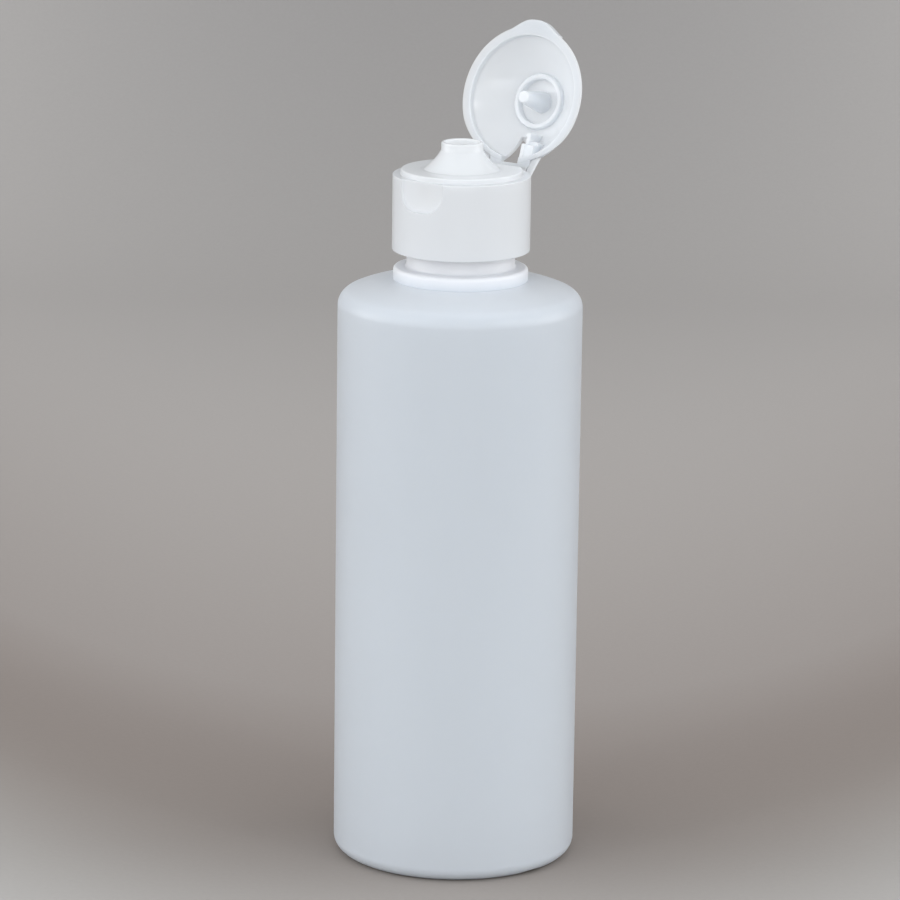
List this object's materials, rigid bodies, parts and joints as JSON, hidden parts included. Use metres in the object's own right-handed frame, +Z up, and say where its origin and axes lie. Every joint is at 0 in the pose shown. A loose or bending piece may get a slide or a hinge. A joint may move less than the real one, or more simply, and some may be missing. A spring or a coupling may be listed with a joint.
{
  "type": "plastic refill bottle",
  "caption": "Round refill bottle with a screw-on flip-top cap: a pouring spout, a domed lid on a living hinge and a sealing ring; it stands on its base ring.",
  "frame": {"origin": "centre of the circle on which the bottle stands, on the bottle's axis", "axes": "+Z up along the bottle's axis; -Y towards the lid's thumb tab and +Y towards its hinge"},
  "size_m": [0.049, 0.0537, 0.1678],
  "materials": {
    "bottle_plastic": "satin natural polyethylene",
    "liner_foam": "soft white foam",
    "cap_base_plastic": "satin white polypropylene",
    "lid_plastic": "satin white polypropylene",
    "hinge_web_left_plastic": "satin white polypropylene",
    "hinge_web_right_plastic": "satin white polypropylene",
    "snap_strap_left_plastic": "satin white polypropylene",
    "snap_strap_right_plastic": "satin white polypropylene"
  },
  "bodies": {
    "bottle": {"bottle": "bottle_plastic"},
    "carrier": {"liner": "liner_foam"},
    "cap": {"cap_base": "cap_base_plastic", "hinge_web_left": "hinge_web_left_plastic", "hinge_web_right": "hinge_web_right_plastic", "snap_strap_left": "snap_strap_left_plastic", "snap_strap_right": "snap_strap_right_plastic"},
    "lid": {"lid": "lid_plastic"}
  },
  "joints": [
    {"name": "liner_lift", "type": "slide", "parent": "bottle", "child": "carrier", "axis": [0, 0, 1], "range_m": [0, 0.0048]},
    {"name": "cap_turn", "type": "hinge", "parent": "carrier", "child": "cap", "pos_m": [0, 0, 0.1246], "axis": [0, 0, 1], "range_deg": [0, 540]},
    {"name": "lid_hinge", "type": "hinge", "parent": "cap", "child": "lid", "pos_m": [0, 0.0148, 0.13906], "axis": [-1, 0, 0], "range_deg": [-106.93, 60], "deforming": ["hinge_web_left", "hinge_web_right", "snap_strap_left", "snap_strap_right"]}
  ],
  "couplings": [
    {"joint": "liner_lift", "follows": "cap_turn", "m_per_rad": 0.00050532}
  ]
}
